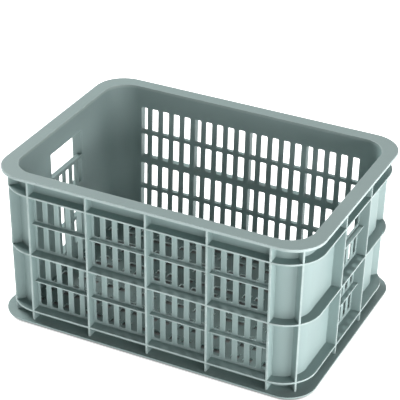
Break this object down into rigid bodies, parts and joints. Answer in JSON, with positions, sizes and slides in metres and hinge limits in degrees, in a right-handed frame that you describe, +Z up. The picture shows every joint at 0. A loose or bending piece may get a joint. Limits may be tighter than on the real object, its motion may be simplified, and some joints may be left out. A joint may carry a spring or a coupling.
{
  "type": "ventilated transport crate",
  "caption": "Open-topped moulded plastic transport crate with slotted walls, hand-holes in the ends, outer ribs and bands, a flat rim, a pierced floor, a base flange and a stacking foot.",
  "frame": {"origin": "on the ground under the middle of the crate, at the bottom centre of its box", "axes": "+X along the length towards the right end, the front is -Y, +Z up"},
  "size_m": [0.5, 0.3634, 0.248],
  "materials": {
    "wall_plastic": "moulded, fine grain, semi-matt",
    "rim_plastic": "moulded, scuffed on the top face, semi-matt",
    "rib_plastic": "moulded, worn pale along the edges, semi-matt",
    "floor_plastic": "moulded, slightly soiled, semi-matt",
    "base_plastic": "moulded, scuffed along the outer edge, semi-matt"
  },
  "bodies": {
    "root": {"floor_grid": "floor_plastic", "front_wall": "wall_plastic", "rear_wall": "wall_plastic", "left_front_panel": "wall_plastic", "left_rear_panel": "wall_plastic", "left_vent_panel": "wall_plastic", "left_grip_bridge": "wall_plastic", "right_front_panel": "wall_plastic", "right_rear_panel": "wall_plastic", "right_vent_panel": "wall_plastic", "right_grip_bridge": "wall_plastic", "front_left_corner_wall": "wall_plastic", "front_right_corner_wall": "wall_plastic", "rear_left_corner_wall": "wall_plastic", "rear_right_corner_wall": "wall_plastic", "front_rim": "rim_plastic", "rear_rim": "rim_plastic", "left_rim": "rim_plastic", "right_rim": "rim_plastic", "front_left_rim_corner": "rim_plastic", "front_right_rim_corner": "rim_plastic", "rear_left_rim_corner": "rim_plastic", "rear_right_rim_corner": "rim_plastic", "front_upper_band": "rib_plastic", "rear_upper_band": "rib_plastic", "left_upper_band": "rib_plastic", "right_upper_band": "rib_plastic", "front_mid_band": "rib_plastic", "rear_mid_band": "rib_plastic", "left_mid_band": "rib_plastic", "right_mid_band": "rib_plastic", "front_lower_band": "rib_plastic", "rear_lower_band": "rib_plastic", "left_lower_band": "rib_plastic", "right_lower_band": "rib_plastic", "front_left_band_corners": "rib_plastic", "front_right_band_corners": "rib_plastic", "rear_left_band_corners": "rib_plastic", "rear_right_band_corners": "rib_plastic", "front_base_flange": "base_plastic", "rear_base_flange": "base_plastic", "left_base_flange": "base_plastic", "right_base_flange": "base_plastic", "front_left_base_corner": "base_plastic", "front_right_base_corner": "base_plastic", "rear_left_base_corner": "base_plastic", "rear_right_base_corner": "base_plastic", "front_ribs": "rib_plastic", "rear_ribs": "rib_plastic", "left_ribs": "rib_plastic", "right_ribs": "rib_plastic", "corner_ribs": "rib_plastic", "front_rails": "rib_plastic", "rear_rails": "rib_plastic", "left_rails": "rib_plastic", "right_rails": "rib_plastic"}
  },
  "joints": []
}
